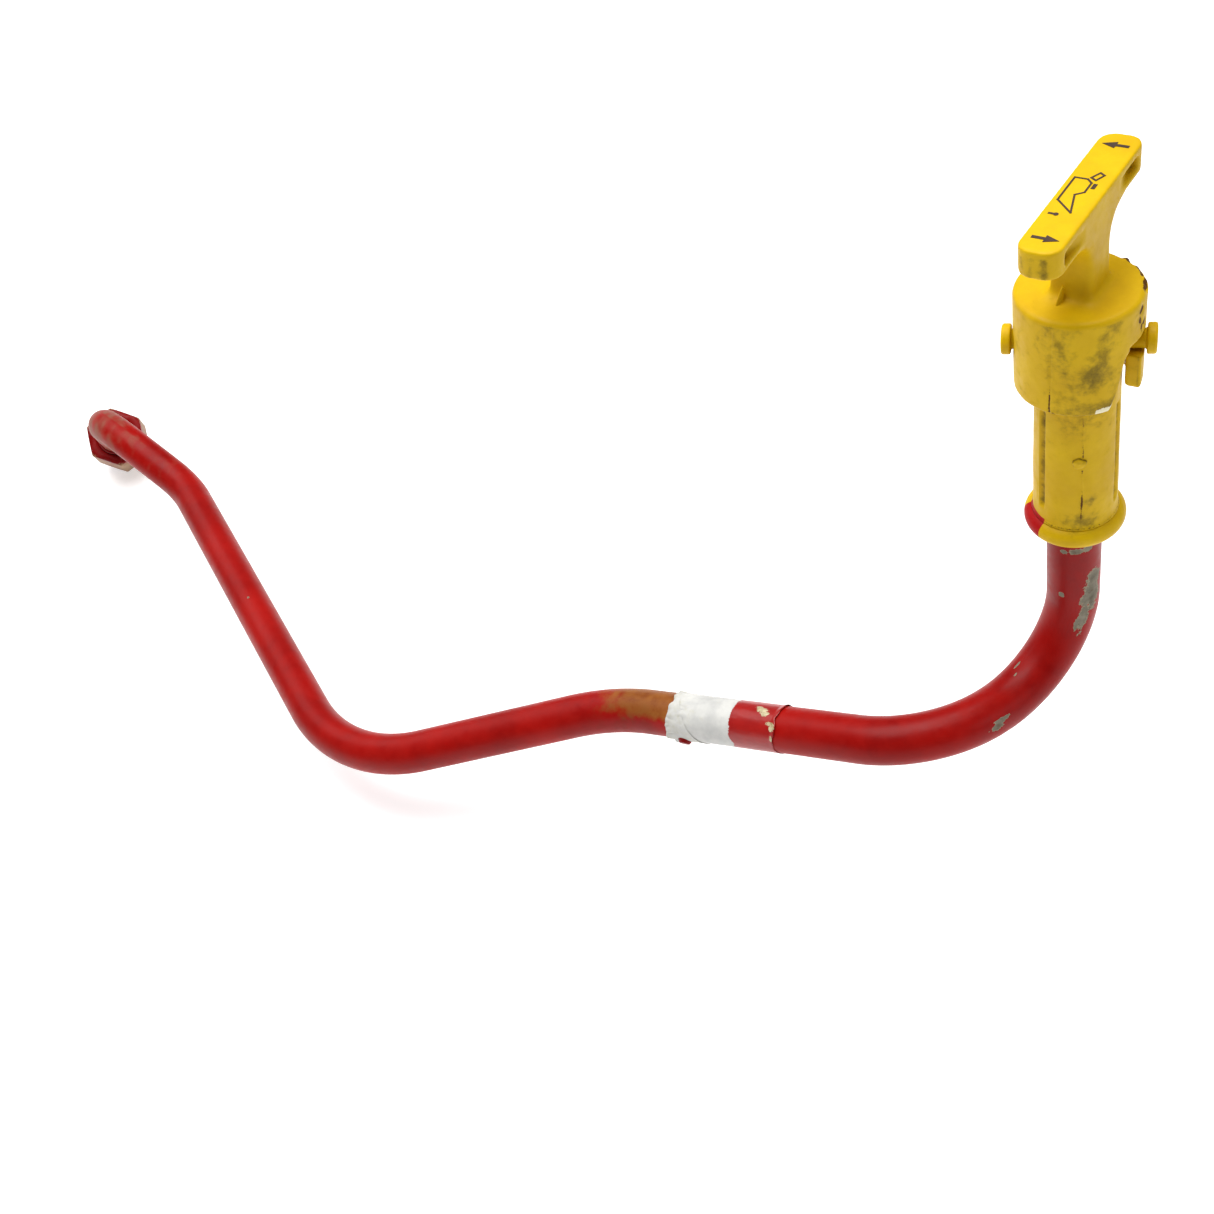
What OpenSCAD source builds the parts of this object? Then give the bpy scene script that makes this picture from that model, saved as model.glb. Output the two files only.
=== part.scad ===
// Engine oil-level gauge tube: a bent steel tube with a flare nut at its lower end, and at its top a moulded
// receiver that takes a bayonet T-handle cap with a flexible gauge hanging from it.
// Frame: +Z up along the cap's axis; the origin is where that axis meets the underside of the flange.

/* [Tube] */
// Outside diameter of the steel tube
tube_od = 19.05; // [18.8:0.05:19.3]
// Wall thickness of the tube
tube_wall = 1.65; // [1.4:0.05:1.8]
// How far the tube's swaged end reaches up into the receiver
tube_in = 42; // [38:1:44]
// Straight run from the flange down to the first bend
first_leg = 36.5; // [30:0.5:45]
// Longest straight run, in the middle of the tube
long_leg = 181; // [150:1:220]
// Last straight run, which carries the nut
last_leg = 45.5; // [44:0.5:60]

/* [Receiver] */
// Diameter of the receiver's barrel at its foot
barrel_d = 28.6; // [28:0.1:29]
// Height of the receiver from the flange's underside
receiver_h = 91; // [90:0.5:92]
// Diameter of the rounded flange
flange_d = 35; // [32:0.5:38]
// Thickness of the flange
flange_t = 8; // [6:0.5:9]
// Height of the bayonet lugs' axis
lug_z = 80; // [79.5:0.1:80.5]
// Diameter of each lug's stem
lug_stem_d = 6.4; // [5.6:0.1:6.5]
// Diameter of each lug's enlarged head
lug_head_d = 10; // [8:0.5:11]

/* [Cap] */
// Outside diameter of the cap's skirt
skirt_d = 40.2; // [40:0.1:41]
// Inside diameter of the skirt
skirt_bore = 30; // [29.6:0.1:30.4]
// Height of the skirt's bottom rim
skirt_z = 64.3; // [63:0.1:66]
// Height of the crown's top face
crown_z = 100.4; // [100:0.1:101]
// Height of the handle's top face
handle_z = 134; // [130:0.5:138]
// Length of the handle's bar
handle_len = 64; // [58:0.5:68]
// Width of the handle's bar
handle_w = 13.6; // [12:0.1:15]
// Direction of the handle's bar when the cap is locked
handle_turn = 38.5; // [0:0.5:90]

/* [Nut] */
// Width across the nut's flats
nut_af = 31.75; // [30:0.25:34]
// Length of the nut
nut_len = 27; // [26.5:0.5:28]
// Distance from the last bend to the nut's rear face
nut_at = 31; // [30:0.5:32]

/* [Gauge] */
// Diameter of the flexible gauge cable
cable_d = 4.5; // [4:0.1:5]
// Length of the gauge blade
blade_len = 94; // [80:1:100]
// Width of the gauge blade
blade_w = 6; // [5:0.5:6.5]

/* [Hidden] */
$fn = 64;

red = "firebrick";
yellow = "gold";
black = "black";
steel = "silver";

tube_r = tube_od / 2;
bore_r = tube_r - tube_wall;
gap = 0.1;

// The tube as a bender would set it: straight legs, and between them a plane turn, a bend angle and a radius.
legs = [first_leg, 2, 98.5, 77.5, long_leg, 25, last_leg];
turns = [160.5, 108.5, 162, 164.5, -114, -151];
bends = [99, 67.5, 23, 58, 33.5, 77];
radii = [36, 46, 100, 78, 45, 38];
last = len(bends);

swage_cut = 0.125;
swage_r = tube_r - swage_cut;
sleeve_bore_r = swage_r + gap;

lug_turn = -31;
lug_stem_r = lug_stem_d / 2;
skirt_r = skirt_d / 2;
skirt_bore_r = skirt_bore / 2;
seal_room = 3.6;
crown_under = receiver_h + seal_room;
front_turn = -110;

mark_depth = 0.5;
mark_proud = 0.12;
mark_w = 0.6;
arrow_x = 25;

// Points of an arc in a profile, from angle a0 to a1 about (cx, cy)
function arc(cx, cy, r, a0, a1, n = 8) =
    [for (i = [0:n]) let (a = a0 + (a1 - a0) * i / n) [cx + r * cos(a), cy + r * sin(a)]];

// Places its children at the start of leg i, with +Z along the leg
module at_leg(i) {
    rotate([180, 0, 0]) follow(i, 0) children();
}

module follow(i, k) {
    if (k == i) children();
    else translate([0, 0, legs[k]]) rotate([0, 0, turns[k]]) translate([radii[k], 0, 0])
        rotate([0, bends[k], 0]) translate([-radii[k], 0, 0]) follow(i, k + 1) children();
}

module ring(r_out, r_in, h) {
    linear_extrude(height = h) difference() {
        circle(r = r_out);
        if (r_in > 0) circle(r = r_in);
    }
}

// The bend that ends leg k, drawn in that leg's frame
module bend(k, r_out, r_in) {
    translate([0, 0, legs[k]]) rotate([0, 0, turns[k]]) translate([radii[k], 0, 0]) rotate([90, 0, 180])
        rotate_extrude(angle = bends[k]) translate([radii[k], 0]) difference() {
            circle(r = r_out);
            if (r_in > 0) circle(r = r_in);
        }
}

// A bend swells by a hair, as a drawn bend does, and each leg laps a little way into the bends beside it
swell = 0.04;
lap = 0.06;

module leg(h, r_out, r_in) {
    translate([0, 0, -lap]) ring(r_out, r_in, h + lap);
}

// Legs and bends from the first leg to the start of leg n
module run(n, r_out, r_in = 0) {
    for (k = [0:n - 1]) at_leg(k) {
        leg(legs[k] + lap, r_out, r_in);
        bend(k, r_out + swell, r_in > 0 ? r_in - swell : 0);
    }
}

// A body of revolution from (radius, height) points
module turned(points) {
    rotate_extrude() polygon(points);
}

flare_len = 3;
flare_angle = 37;
flare_out = flare_len * tan(flare_angle);

module gauge_tube() {
    color(red) {
        ring(swage_r, bore_r, tube_in);
        run(last, tube_r, bore_r);
        at_leg(last) {
            leg(last_leg - flare_len, tube_r, bore_r);
            translate([0, 0, last_leg - flare_len]) turned([
                [bore_r, 0], [tube_r, 0], [tube_r + flare_out, flare_len], [bore_r + flare_out, flare_len]
            ]);
        }
    }
}

nub_at = 79;
nub_turn = 136;
nub_proud = 1.9;
nub_sunk = 0.6;
nub_foot_r = 3.6;
nub_top_r = 2.2;
nub_clear = 0.3;
label_from = 30;
label_to = 87;
label_t = 0.18;
label_wrap = 300;
label_turn = 95;
ply_len = 18;
ply_short = 4;
ply_wrap = 150;
ply_turn = label_turn + 20;

module weld_nub() {
    color(red) at_leg(2) rotate([0, 0, nub_turn]) translate([0, 0, nub_at]) rotate([0, 90, 0]) difference() {
        translate([0, 0, tube_r - nub_sunk])
            cylinder(h = nub_sunk + nub_proud, r1 = nub_foot_r, r2 = nub_top_r);
        rotate([0, 90, 0]) cylinder(h = 4 * nub_foot_r, r = tube_r, center = true);
    }
}

// The paper is torn round the nub
module nub_hole() {
    at_leg(2) rotate([0, 0, nub_turn]) translate([0, 0, nub_at]) rotate([0, 90, 0])
        cylinder(h = 2 * tube_r, r = nub_foot_r + nub_clear);
}

module label_band(r_in, from, to, wrap, turn) {
    at_leg(2) translate([0, 0, from]) rotate([0, 0, turn])
        rotate_extrude(angle = wrap) translate([r_in, 0]) square([label_t, to - from]);
}

module tube_label() {
    color("white") difference() {
        label_band(tube_r, label_from, label_to, label_wrap, label_turn);
        nub_hole();
    }
}

module label_ply() {
    color("ivory") difference() {
        label_band(tube_r + label_t, label_to - ply_short - ply_len, label_to - ply_short, ply_wrap, ply_turn);
        nub_hole();
    }
}

sleeve_tail_r = 11;
sleeve_head_r = 12.1;
sleeve_tail = 1.5;
sleeve_edge = 0.5;
shoulder_z = 8;
shoulder_rise = sleeve_head_r - sleeve_tail_r;
flare_seat_r = tube_r + 2.45;
flare_seat_z = 0.35;
flare_seat_end = 2.6;
seat_z = last_leg - nut_at - flare_len;

module support_sleeve() {
    color(red) at_leg(last) translate([0, 0, nut_at]) turned([
        [tube_r + gap, -sleeve_tail], [sleeve_tail_r - sleeve_edge, -sleeve_tail],
        [sleeve_tail_r, sleeve_edge - sleeve_tail], [sleeve_tail_r, shoulder_z],
        [sleeve_head_r, shoulder_z + shoulder_rise], [sleeve_head_r, seat_z + flare_seat_end],
        [flare_seat_r, seat_z + flare_seat_end], [tube_r + gap, seat_z - flare_seat_z]
    ]);
}

module tube_nut() {
    nut_turn = 40;
    corner_r = nut_af / 2 / cos(30);
    thread_r = 12.4;
    relief_r = thread_r + 0.5;
    relief_z = 9.7;
    thread_from = seat_z + flare_len;
    chamfer_in = 2.2;
    chamfer_up = 1.4;
    entry_r = sleeve_tail_r + gap;
    color(red) at_leg(last) translate([0, 0, nut_at]) difference() {
        intersection() {
            rotate([0, 0, nut_turn]) cylinder(h = nut_len, r = corner_r, $fn = 6);
            turned([
                [0, 0], [corner_r - chamfer_in, 0], [corner_r + 0.2, chamfer_up],
                [corner_r + 0.2, nut_len - chamfer_up], [corner_r - chamfer_in, nut_len], [0, nut_len]
            ]);
        }
        turned([
            [0, -1], [entry_r, -1], [entry_r, shoulder_z - gap], [relief_r, relief_z],
            [relief_r, thread_from - 0.4], [thread_r, thread_from], [thread_r, nut_len + 1], [0, nut_len + 1]
        ]);
    }
}

groove_r = 1.6;
groove_out = 0.3;
groove_from = 14;
groove_len = 44;
groove_turns = [-120, -60, 60, 120];
bead_r = 2.5;
bead_in = 0.7;
bead_up = 1.2;
bead_flat = 3;
barrel_taper = 0.5;
taper_end = 60;
mouth_edge = 1;
seal_z = 30;
seal_groove_w = 3;
seal_groove_r = 11.9;
seal_cord_r = 1.2;
pin_z = 39;
pin_turn = -114;
pin_r = 2.35;
pin_proud = 0.4;
barrel_r = barrel_d / 2;
throat_r = 8.3;

module receiver_profile() {
    turned([
        [sleeve_bore_r, 0], [flange_d / 2 - bead_r, 0], [flange_d / 2 - bead_in, bead_up],
        [flange_d / 2, bead_flat],
        [flange_d / 2, flange_t - bead_flat], [flange_d / 2 - bead_in, flange_t - bead_up],
        [flange_d / 2 - bead_r, flange_t], [barrel_r, flange_t], [barrel_r - barrel_taper, taper_end],
        [barrel_r - barrel_taper, receiver_h - mouth_edge], [barrel_r - barrel_taper - mouth_edge, receiver_h],
        [throat_r + mouth_edge, receiver_h], [throat_r, receiver_h - mouth_edge], [throat_r, tube_in],
        [sleeve_bore_r, tube_in], [sleeve_bore_r, seal_z + seal_groove_w],
        [seal_groove_r, seal_z + seal_groove_w],
        [seal_groove_r, seal_z], [sleeve_bore_r, seal_z]
    ]);
}

module lug() {
    stem_from = 12;
    head_in = skirt_r + 0.5;
    head_r = lug_head_d / 2;
    inner_edge = 0.4;
    outer_edge = 0.6;
    rim = 2.2;
    translate([0, 0, lug_z]) rotate([0, 90, 0]) {
        translate([0, 0, stem_from]) cylinder(h = head_in - stem_from, r = lug_stem_r);
        translate([0, 0, head_in]) cylinder(h = inner_edge, r1 = head_r - inner_edge, r2 = head_r);
        translate([0, 0, head_in + inner_edge]) cylinder(h = rim, r = head_r);
        translate([0, 0, head_in + inner_edge + rim])
            cylinder(h = outer_edge, r1 = head_r, r2 = head_r - outer_edge);
    }
}

module receiver_sleeve() {
    color(yellow) difference() {
        union() {
            receiver_profile();
            for (side = [0, 180]) rotate([0, 0, lug_turn + side]) lug();
        }
        for (a = groove_turns) rotate([0, 0, front_turn + a]) translate([barrel_r + groove_out, 0, groove_from])
            cylinder(h = groove_len, r = groove_r);
        rotate([0, 0, pin_turn]) translate([0, 0, pin_z]) rotate([0, 90, 0])
            cylinder(h = barrel_r + 2, r = pin_r + gap / 2);
    }
}

module receiver_seal() {
    color(black) rotate_extrude() translate([(swage_r + seal_groove_r) / 2, seal_z + seal_groove_w / 2])
        circle(r = seal_cord_r);
}

module lock_pin() {
    color(yellow) rotate([0, 0, pin_turn]) translate([0, 0, pin_z]) rotate([0, 90, 0])
        translate([0, 0, sleeve_bore_r + gap]) cylinder(h = barrel_r + pin_proud - sleeve_bore_r, r = pin_r);
}

module cap_seal() {
    play = 0.02;
    color(black) translate([0, 0, receiver_h + play]) ring(13.4, 9, seal_room - 2 * play);
}

stud_r = 2;
stud_top = crown_under + 3.4;
arm_t = 9.5;
arm_z = handle_z - arm_t;
neck_half = 7;
arch_r = 12;
foot_r = 3.5;

// Half of the handle's side outline, from the crown up the neck and along the arm to the bar's end
foot_sunk = 0.5;
half_side = concat(
    [[neck_half + foot_r, crown_z - foot_sunk]],
    arc(neck_half + foot_r, crown_z + foot_r, foot_r, 270, 180, 5),
    arc(neck_half + arch_r, arm_z - arch_r, arch_r, 180, 90, 10),
    [[handle_len / 2, arm_z], [handle_len / 2, handle_z]]
);

module handle_side() {
    polygon(concat(half_side, [for (i = [len(half_side) - 1:-1:0]) [-half_side[i][0], half_side[i][1]]]));
}

// The bar seen from above, with rounded ends
module handle_plan() {
    r = 5;
    x = handle_len / 2 - r;
    y = handle_w / 2 - r;
    polygon(concat(
        arc(x, y, r, 0, 90), arc(-x, y, r, 90, 180), arc(-x, -y, r, 180, 270), arc(x, -y, r, 270, 360)
    ));
}

// A shallow pocket in the bar's side that deepens towards the bar's end
module pocket() {
    depth = 3.4;
    from = 12;
    to = 26;
    floor_z = arm_z + 2.2;
    roof_z = handle_z - 3;
    side = handle_w / 2;
    translate([0, 0, floor_z]) linear_extrude(height = roof_z - floor_z)
        polygon([[from, side], [from, side + 1], [to, side + 1], [to, side - depth], [to - 2, side - depth]]);
}

module handle() {
    difference() {
        intersection() {
            rotate([90, 0, 0]) linear_extrude(height = handle_w, center = true) handle_side();
            translate([0, 0, crown_z - foot_sunk]) linear_extrude(height = handle_z - crown_z + 1)
                handle_plan();
        }
        for (a = [0, 180], m = [0, 1]) rotate([0, 0, a]) mirror([m, 0, 0]) pocket();
        mark_solids(-mark_depth, 1);
    }
}

// An arc of the skirt's wall, in degrees clockwise from the lug
module sector(from, to, low, high) {
    rotate([0, 0, -to]) rotate_extrude(angle = to - from) translate([skirt_bore_r - 2, low])
        square([8, high - low]);
}

// One bayonet slot: a seat, then a hook that keeps the lug in it, then a mouth clockwise at the skirt's rim
module slot_cut() {
    seat_from = -13.5;
    seat_to = 8;
    seat_floor = lug_z - lug_stem_r - 0.4;
    hook_floor = lug_z - lug_stem_r + 0.2;
    finger_end = 18;
    mouth_end = 38;
    flank_turn = 39;
    flank_foot = -4.4;
    flank_mid = -3.4;
    flank_top = -1.6;
    flank_roof = 1.2;
    back = 3;
    roof = lug_z + 6;
    below = skirt_z - 5;
    sector(seat_from, seat_to, seat_floor, roof - 1);
    sector(seat_to - 1, finger_end, hook_floor, roof);
    sector(finger_end - 1, mouth_end, below, roof);
    rotate([0, 0, -flank_turn]) rotate([90, 0, 90]) translate([0, 0, skirt_bore_r - 4])
        linear_extrude(height = 12) polygon([
            [flank_foot, below], [flank_foot, skirt_z + 3], [flank_mid, skirt_z + 9], [flank_top, lug_z + 2],
            [flank_roof, roof], [back, roof], [back, below]
        ]);
}

module cap_body() {
    edge = 0.6;
    lead = 0.8;
    crown_r = 1.5;
    color(yellow) {
        difference() {
            turned([
                [0, crown_under], [skirt_bore_r - edge, crown_under], [skirt_bore_r, crown_under - edge],
                [skirt_bore_r, skirt_z + lead], [skirt_bore_r + lead, skirt_z], [skirt_r - edge, skirt_z],
                [skirt_r, skirt_z + edge], [skirt_r, crown_z - crown_r],
                [skirt_r - 0.3 * crown_r, crown_z - 0.3 * crown_r],
                [skirt_r - crown_r, crown_z], [0, crown_z]
            ]);
            for (side = [0, 180]) rotate([0, 0, lug_turn + side]) slot_cut();
            translate([0, 0, crown_under - 1]) cylinder(h = stud_top - crown_under + 1, r = stud_r);
        }
        rotate([0, 0, handle_turn]) handle();
    }
}

module stroke(p, q, w) {
    d = norm(q - p);
    translate(p) rotate(atan2(q[1] - p[1], q[0] - p[0])) translate([-w / 2, -w / 2]) square([d + w, w]);
}

module outline(points) {
    n = len(points);
    for (i = [0:n - 1]) stroke(points[i], points[(i + 1) % n], mark_w);
}

module arrow() {
    polygon([[-0.6, -4], [0.6, -4], [0.6, 0], [1.7, 0], [0, 4.4], [-1.7, 0], [-0.6, 0]]);
}

module can_outline() {
    outline([[6, 4.6], [-6, 4.6], [-11.2, -1.6], [-2.4, 1], [-0.6, -1.2], [4.4, -1.2], [6, 0.6]]);
}

module can_handle() {
    outline([[7, 0], [10, -1.6], [9, -3.2], [6, -1.8]]);
    translate([1.6, -3.2]) square([2.6, 1.2]);
}

module drop() {
    translate([-13, 2]) circle(r = 0.75);
    translate([-13.4, 2.4]) square([0.8, 2]);
}

module near_plan() {
    translate([-arrow_x, 0]) rotate(180) arrow();
}

module far_plan() {
    translate([arrow_x, 0]) arrow();
}

// A mark's solid, from the given height below the handle's top face
module mark(from, height) {
    translate([0, 0, handle_z + from]) linear_extrude(height = height) children();
}

module mark_solids(from, height) {
    mark(from, height) near_plan();
    mark(from, height) far_plan();
    mark(from, height) can_outline();
    mark(from, height) can_handle();
    mark(from, height) drop();
}

module inlay() {
    color(black) rotate([0, 0, handle_turn]) mark(-mark_depth, mark_depth + mark_proud) children();
}

module near_arrow() { inlay() near_plan(); }
module far_arrow() { inlay() far_plan(); }
module oil_can_outline() { inlay() can_outline(); }
module oil_can_handle() { inlay() can_handle(); }
module oil_drop() { inlay() drop(); }

stud_head_r = 3.4;
stud_head_z = crown_under - 6.8;
cup_top = crown_under - 3.2;
cup_floor = 82;
cup_foot = 76;
cup_r = 6;
cup_room_r = 4.8;
cup_roof = 1.5;
ferrule_foot = 60;
ferrule_r = 3.6;
rivet_play = 0.08;
rivet_head_t = 1.2;
retainer_r = 8;
retainer_t = 1.3;
washer_r = 4.4;
washer_t = 0.7;
blade_leg = 4;
cable_end = 60;
blade_ferrule_len = 18;
blade_ferrule_r = 4;
blade_grip = 8;
blade_t = 1;
level_holes = [32, 14];
level_hole_r = 1.1;
tip_r = 3.4;
tip_end_r = 1.4;
tip_len = 3;
tip_nose = 4;

module swivel_stud() {
    color(steel) {
        translate([0, 0, stud_head_z]) cylinder(h = rivet_head_t, r = stud_head_r);
        translate([0, 0, stud_head_z + rivet_head_t])
            cylinder(h = stud_top - stud_head_z - rivet_head_t, r = stud_r);
    }
}

module seal_retainer() {
    color(steel) translate([0, 0, crown_under - gap - retainer_t])
        ring(retainer_r, stud_r + rivet_play, retainer_t);
}

module swivel_washer() {
    color(steel) translate([0, 0, stud_head_z + rivet_head_t + gap])
        ring(washer_r, stud_r + rivet_play, washer_t);
}

module swivel_cup() {
    color(steel) difference() {
        translate([0, 0, cup_foot]) cylinder(h = cup_top - cup_foot, r = cup_r);
        translate([0, 0, cup_floor]) cylinder(h = cup_top - cup_floor - cup_roof, r = cup_room_r);
        translate([0, 0, cup_top - 2]) cylinder(h = 3, r = stud_r + rivet_play);
        translate([0, 0, cup_foot - 1]) cylinder(h = cup_floor - cup_foot + 2, r = cable_d / 2);
    }
}

module cable_ferrule() {
    color(steel) translate([0, 0, ferrule_foot]) ring(ferrule_r, cable_d / 2, cup_foot - ferrule_foot);
}

module gauge_cable() {
    color("dimgray") {
        cylinder(h = cup_floor, r = cable_d / 2);
        run(blade_leg, cable_d / 2);
        at_leg(blade_leg) leg(cable_end, cable_d / 2, 0);
    }
}

module blade_ferrule() {
    cable_grip = blade_ferrule_len - blade_grip;
    color(steel) at_leg(blade_leg) translate([0, 0, cable_end - cable_grip]) difference() {
        cylinder(h = blade_ferrule_len, r = blade_ferrule_r);
        translate([0, 0, -1]) cylinder(h = cable_grip + 1, r = cable_d / 2);
        translate([-blade_w / 2, -blade_t / 2, cable_grip]) cube([blade_w, blade_t, blade_grip + 1]);
    }
}

module gauge_blade() {
    color(steel) at_leg(blade_leg) translate([0, 0, cable_end]) difference() {
        translate([-blade_w / 2, -blade_t / 2, 0]) cube([blade_w, blade_t, blade_len]);
        for (h = level_holes) translate([0, 0, blade_len - h]) rotate([90, 0, 0])
            cylinder(h = 4 * blade_t, r = level_hole_r, center = true);
    }
}

module blade_tip() {
    color(steel) at_leg(blade_leg) translate([0, 0, cable_end + blade_len]) {
        cylinder(h = tip_len, r = tip_r);
        translate([0, 0, tip_len]) cylinder(h = tip_nose, r1 = tip_r, r2 = tip_end_r);
    }
}

gauge_tube();
weld_nub();
tube_label();
label_ply();
support_sleeve();
tube_nut();
receiver_sleeve();
receiver_seal();
lock_pin();
cap_seal();
cap_body();
near_arrow();
far_arrow();
oil_can_outline();
oil_can_handle();
oil_drop();
swivel_stud();
seal_retainer();
swivel_washer();
swivel_cup();
cable_ferrule();
gauge_cable();
blade_ferrule();
gauge_blade();
blade_tip();
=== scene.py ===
import bmesh
import bpy
import numpy as np
from mathutils import Matrix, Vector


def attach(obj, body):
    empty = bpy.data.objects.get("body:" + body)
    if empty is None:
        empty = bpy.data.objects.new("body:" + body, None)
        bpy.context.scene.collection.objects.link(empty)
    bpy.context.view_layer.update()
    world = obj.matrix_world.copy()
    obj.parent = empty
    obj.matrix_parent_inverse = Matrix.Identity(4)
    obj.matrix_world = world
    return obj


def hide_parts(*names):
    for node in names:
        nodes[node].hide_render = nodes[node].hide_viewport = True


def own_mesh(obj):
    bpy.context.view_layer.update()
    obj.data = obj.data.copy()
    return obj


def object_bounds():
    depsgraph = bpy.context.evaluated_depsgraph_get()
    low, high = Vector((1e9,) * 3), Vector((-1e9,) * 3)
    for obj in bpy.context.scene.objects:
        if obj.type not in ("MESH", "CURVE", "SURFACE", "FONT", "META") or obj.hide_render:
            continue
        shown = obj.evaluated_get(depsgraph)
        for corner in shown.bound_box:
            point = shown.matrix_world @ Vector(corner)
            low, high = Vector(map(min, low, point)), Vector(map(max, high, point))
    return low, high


# An engine oil-level gauge tube: red enamelled steel tube, yellow nylon receiver and bayonet T-handle cap.
# Shapes are worked out in millimetres and put into the meshes in metres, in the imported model's frame.

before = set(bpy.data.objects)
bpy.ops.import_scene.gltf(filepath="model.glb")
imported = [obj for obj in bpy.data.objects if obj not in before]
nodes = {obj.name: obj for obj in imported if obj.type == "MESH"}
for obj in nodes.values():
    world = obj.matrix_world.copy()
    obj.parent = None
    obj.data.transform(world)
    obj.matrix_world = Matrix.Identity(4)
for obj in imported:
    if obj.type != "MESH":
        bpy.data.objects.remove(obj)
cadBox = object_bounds()
mm = 0.001
print("frame loaded:", len(nodes), "nodes")


def linear(hexColour):
    # sRGB hex to linear light, with full alpha
    c = np.array([int(hexColour[i:i + 2], 16) for i in (1, 3, 5)]) / 255
    c = np.where(c <= 0.04045, c / 12.92, ((c + 0.055) / 1.055) ** 2.4)
    return (*[float(x) for x in c], 1.0)


def smoothStep(x, low, high):
    # 0 below low, 1 above high, and an S curve between
    t = np.clip((x - low) / (high - low), 0, 1)
    return t * t * (3 - 2 * t)


def ripple(*coords, seed=0, waves=14, size=1.0):
    # smooth noise of about -1 to 1: a sum of sine waves in seeded directions, their length near size
    r = np.random.default_rng(seed)
    total = 0
    for _ in range(waves):
        k = r.normal(size=len(coords)) * (2 * np.pi / size) * 0.45
        total = total + np.sin(sum(a * b for a, b in zip(coords, k)) + r.uniform(0, 2 * np.pi))
    return total / np.sqrt(waves)


def turnedBy(angle, ref):
    # the angle's distance from ref, wrapped to -180..180 degrees
    return (angle - ref + 180) % 360 - 180


def makeMesh(name, points, faces):
    # a smooth-shaded object from points in mm
    mesh = bpy.data.meshes.new(name)
    mesh.from_pydata((np.asarray(points) * mm).tolist(), [], faces)
    mesh.update()
    mesh.polygons.foreach_set("use_smooth", np.ones(len(mesh.polygons), bool))
    made = bpy.data.objects.new(name, mesh)
    bpy.context.scene.collection.objects.link(made)
    return made


def gridFaces(rows, cols, closeRows, closeCols, start=0):
    # quads of a rows x cols grid, each joined to the next row and column
    r = np.arange(rows if closeRows else rows - 1)
    c = np.arange(cols if closeCols else cols - 1)
    r, c = np.meshgrid(r, c, indexing="ij")
    r2, c2 = (r + 1) % rows, (c + 1) % cols
    return np.stack([r * cols + c, r2 * cols + c, r2 * cols + c2, r * cols + c2], -1).reshape(-1, 4) + start


def gridPiece(name, points, closeRows=True, closeCols=True, flip=False):
    # a grid of points (rows, cols, 3) as one surface
    rows, cols = points.shape[:2]
    faces = gridFaces(rows, cols, closeRows, closeCols)
    return makeMesh(name, points.reshape(-1, 3), (faces[:, ::-1] if flip else faces).tolist())


def keep(piece, **fields):
    # stores one number per point under each name, for the material to read
    for name, values in fields.items():
        layer = piece.data.attributes.new(name, "FLOAT", "POINT")
        layer.data.foreach_set("value", np.asarray(values, np.float32).ravel())


def turnedGrid(radius, height, angle):
    # a profile turned about Z: rows follow the profile, columns the angle; radius may be (rows, cols)
    radius = radius if radius.ndim == 2 else radius[:, None] + 0 * angle[None, :]
    height = height if height.ndim == 2 else height[:, None] + 0 * angle[None, :]
    return np.stack([radius * np.cos(angle), radius * np.sin(angle), height], -1)


def arcPoints(cx, cy, r, a0, a1, n):
    # n points of an arc about (cx, cy), from a0 to a1 degrees
    t = np.radians(np.linspace(a0, a1, n))
    return np.stack([cx + r * np.cos(t), cy + r * np.sin(t)], -1).tolist()


def addNode(tree, kind, sockets=None, **settings):
    # a node with its settings; each socket is linked to an output, or set to a value or an sRGB hex word
    node = tree.nodes.new("ShaderNode" + kind)
    for name, value in settings.items():
        setattr(node, name, value)
    for name, value in (sockets or {}).items():
        if isinstance(value, bpy.types.NodeSocket):
            tree.links.new(value, node.inputs[name])
        else:
            node.inputs[name].default_value = linear(value) if isinstance(value, str) else value
    return node


def newMaterial(name):
    # an empty surface: the material, its nodes, its shader and the place on the object
    made = bpy.data.materials.new(name)
    made.use_nodes = True
    tree = made.node_tree
    tree.nodes.clear()
    surface = addNode(tree, "BsdfPrincipled")
    out = addNode(tree, "OutputMaterial")
    tree.links.new(surface.outputs[0], out.inputs[0])
    place = addNode(tree, "TexCoord").outputs["Object"]
    return made, tree, surface, place


def blotches(tree, place, size, low, high, seed=0.0, detail=4.0):
    # noise of that size in mm, spread from 0 at low to 1 at high
    noise = addNode(tree, "TexNoise", {"Vector": place, "Scale": 1 / (size * mm), "Detail": detail,
                                       "Roughness": 0.6, "W": seed}, noise_dimensions="4D")
    return addNode(tree, "MapRange", {"Value": noise.outputs[0], "From Min": low,
                                      "From Max": high}).outputs[0]


def worn(tree, field, noise, low, high, amount=0.35):
    # 0 to 1: a stored field with a ragged edge from the noise
    lifted = addNode(tree, "Math", {0: noise, 1: amount, 2: -amount / 2}, operation="MULTIPLY_ADD").outputs[0]
    stored = addNode(tree, "Attribute", attribute_name=field).outputs["Fac"]
    total = addNode(tree, "Math", {0: stored, 1: lifted}, operation="ADD").outputs[0]
    return addNode(tree, "MapRange", {"Value": total, "From Min": low, "From Max": high},
                   interpolation_type="SMOOTHSTEP").outputs[0]


def layered(tree, base, *layers):
    # a colour with layers over it, each a colour and the mask where it shows
    for colour, mask in layers:
        base = addNode(tree, "Mix", {6: base, 7: colour, 0: mask}, data_type="RGBA").outputs[2]
    return base


def raised(tree, surface, parts):
    # bumps one on another: (height socket, depth in mm, strength)
    below = {}
    for height, depth, strength in parts:
        bump = addNode(tree, "Bump", {"Height": height, "Distance": depth * mm, "Strength": strength,
                                      **below})
        below = {"Normal": bump.outputs[0]}
    tree.links.new(below["Normal"], surface.inputs["Normal"])


paint = dict(lit="#9F0803", deep="#810201", high="#AA1205", faded="#8A5242", chip="#5E5848", rim="#968D76",
             stain="#955A24", stainDark="#783C14", rough=0.38)


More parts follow.
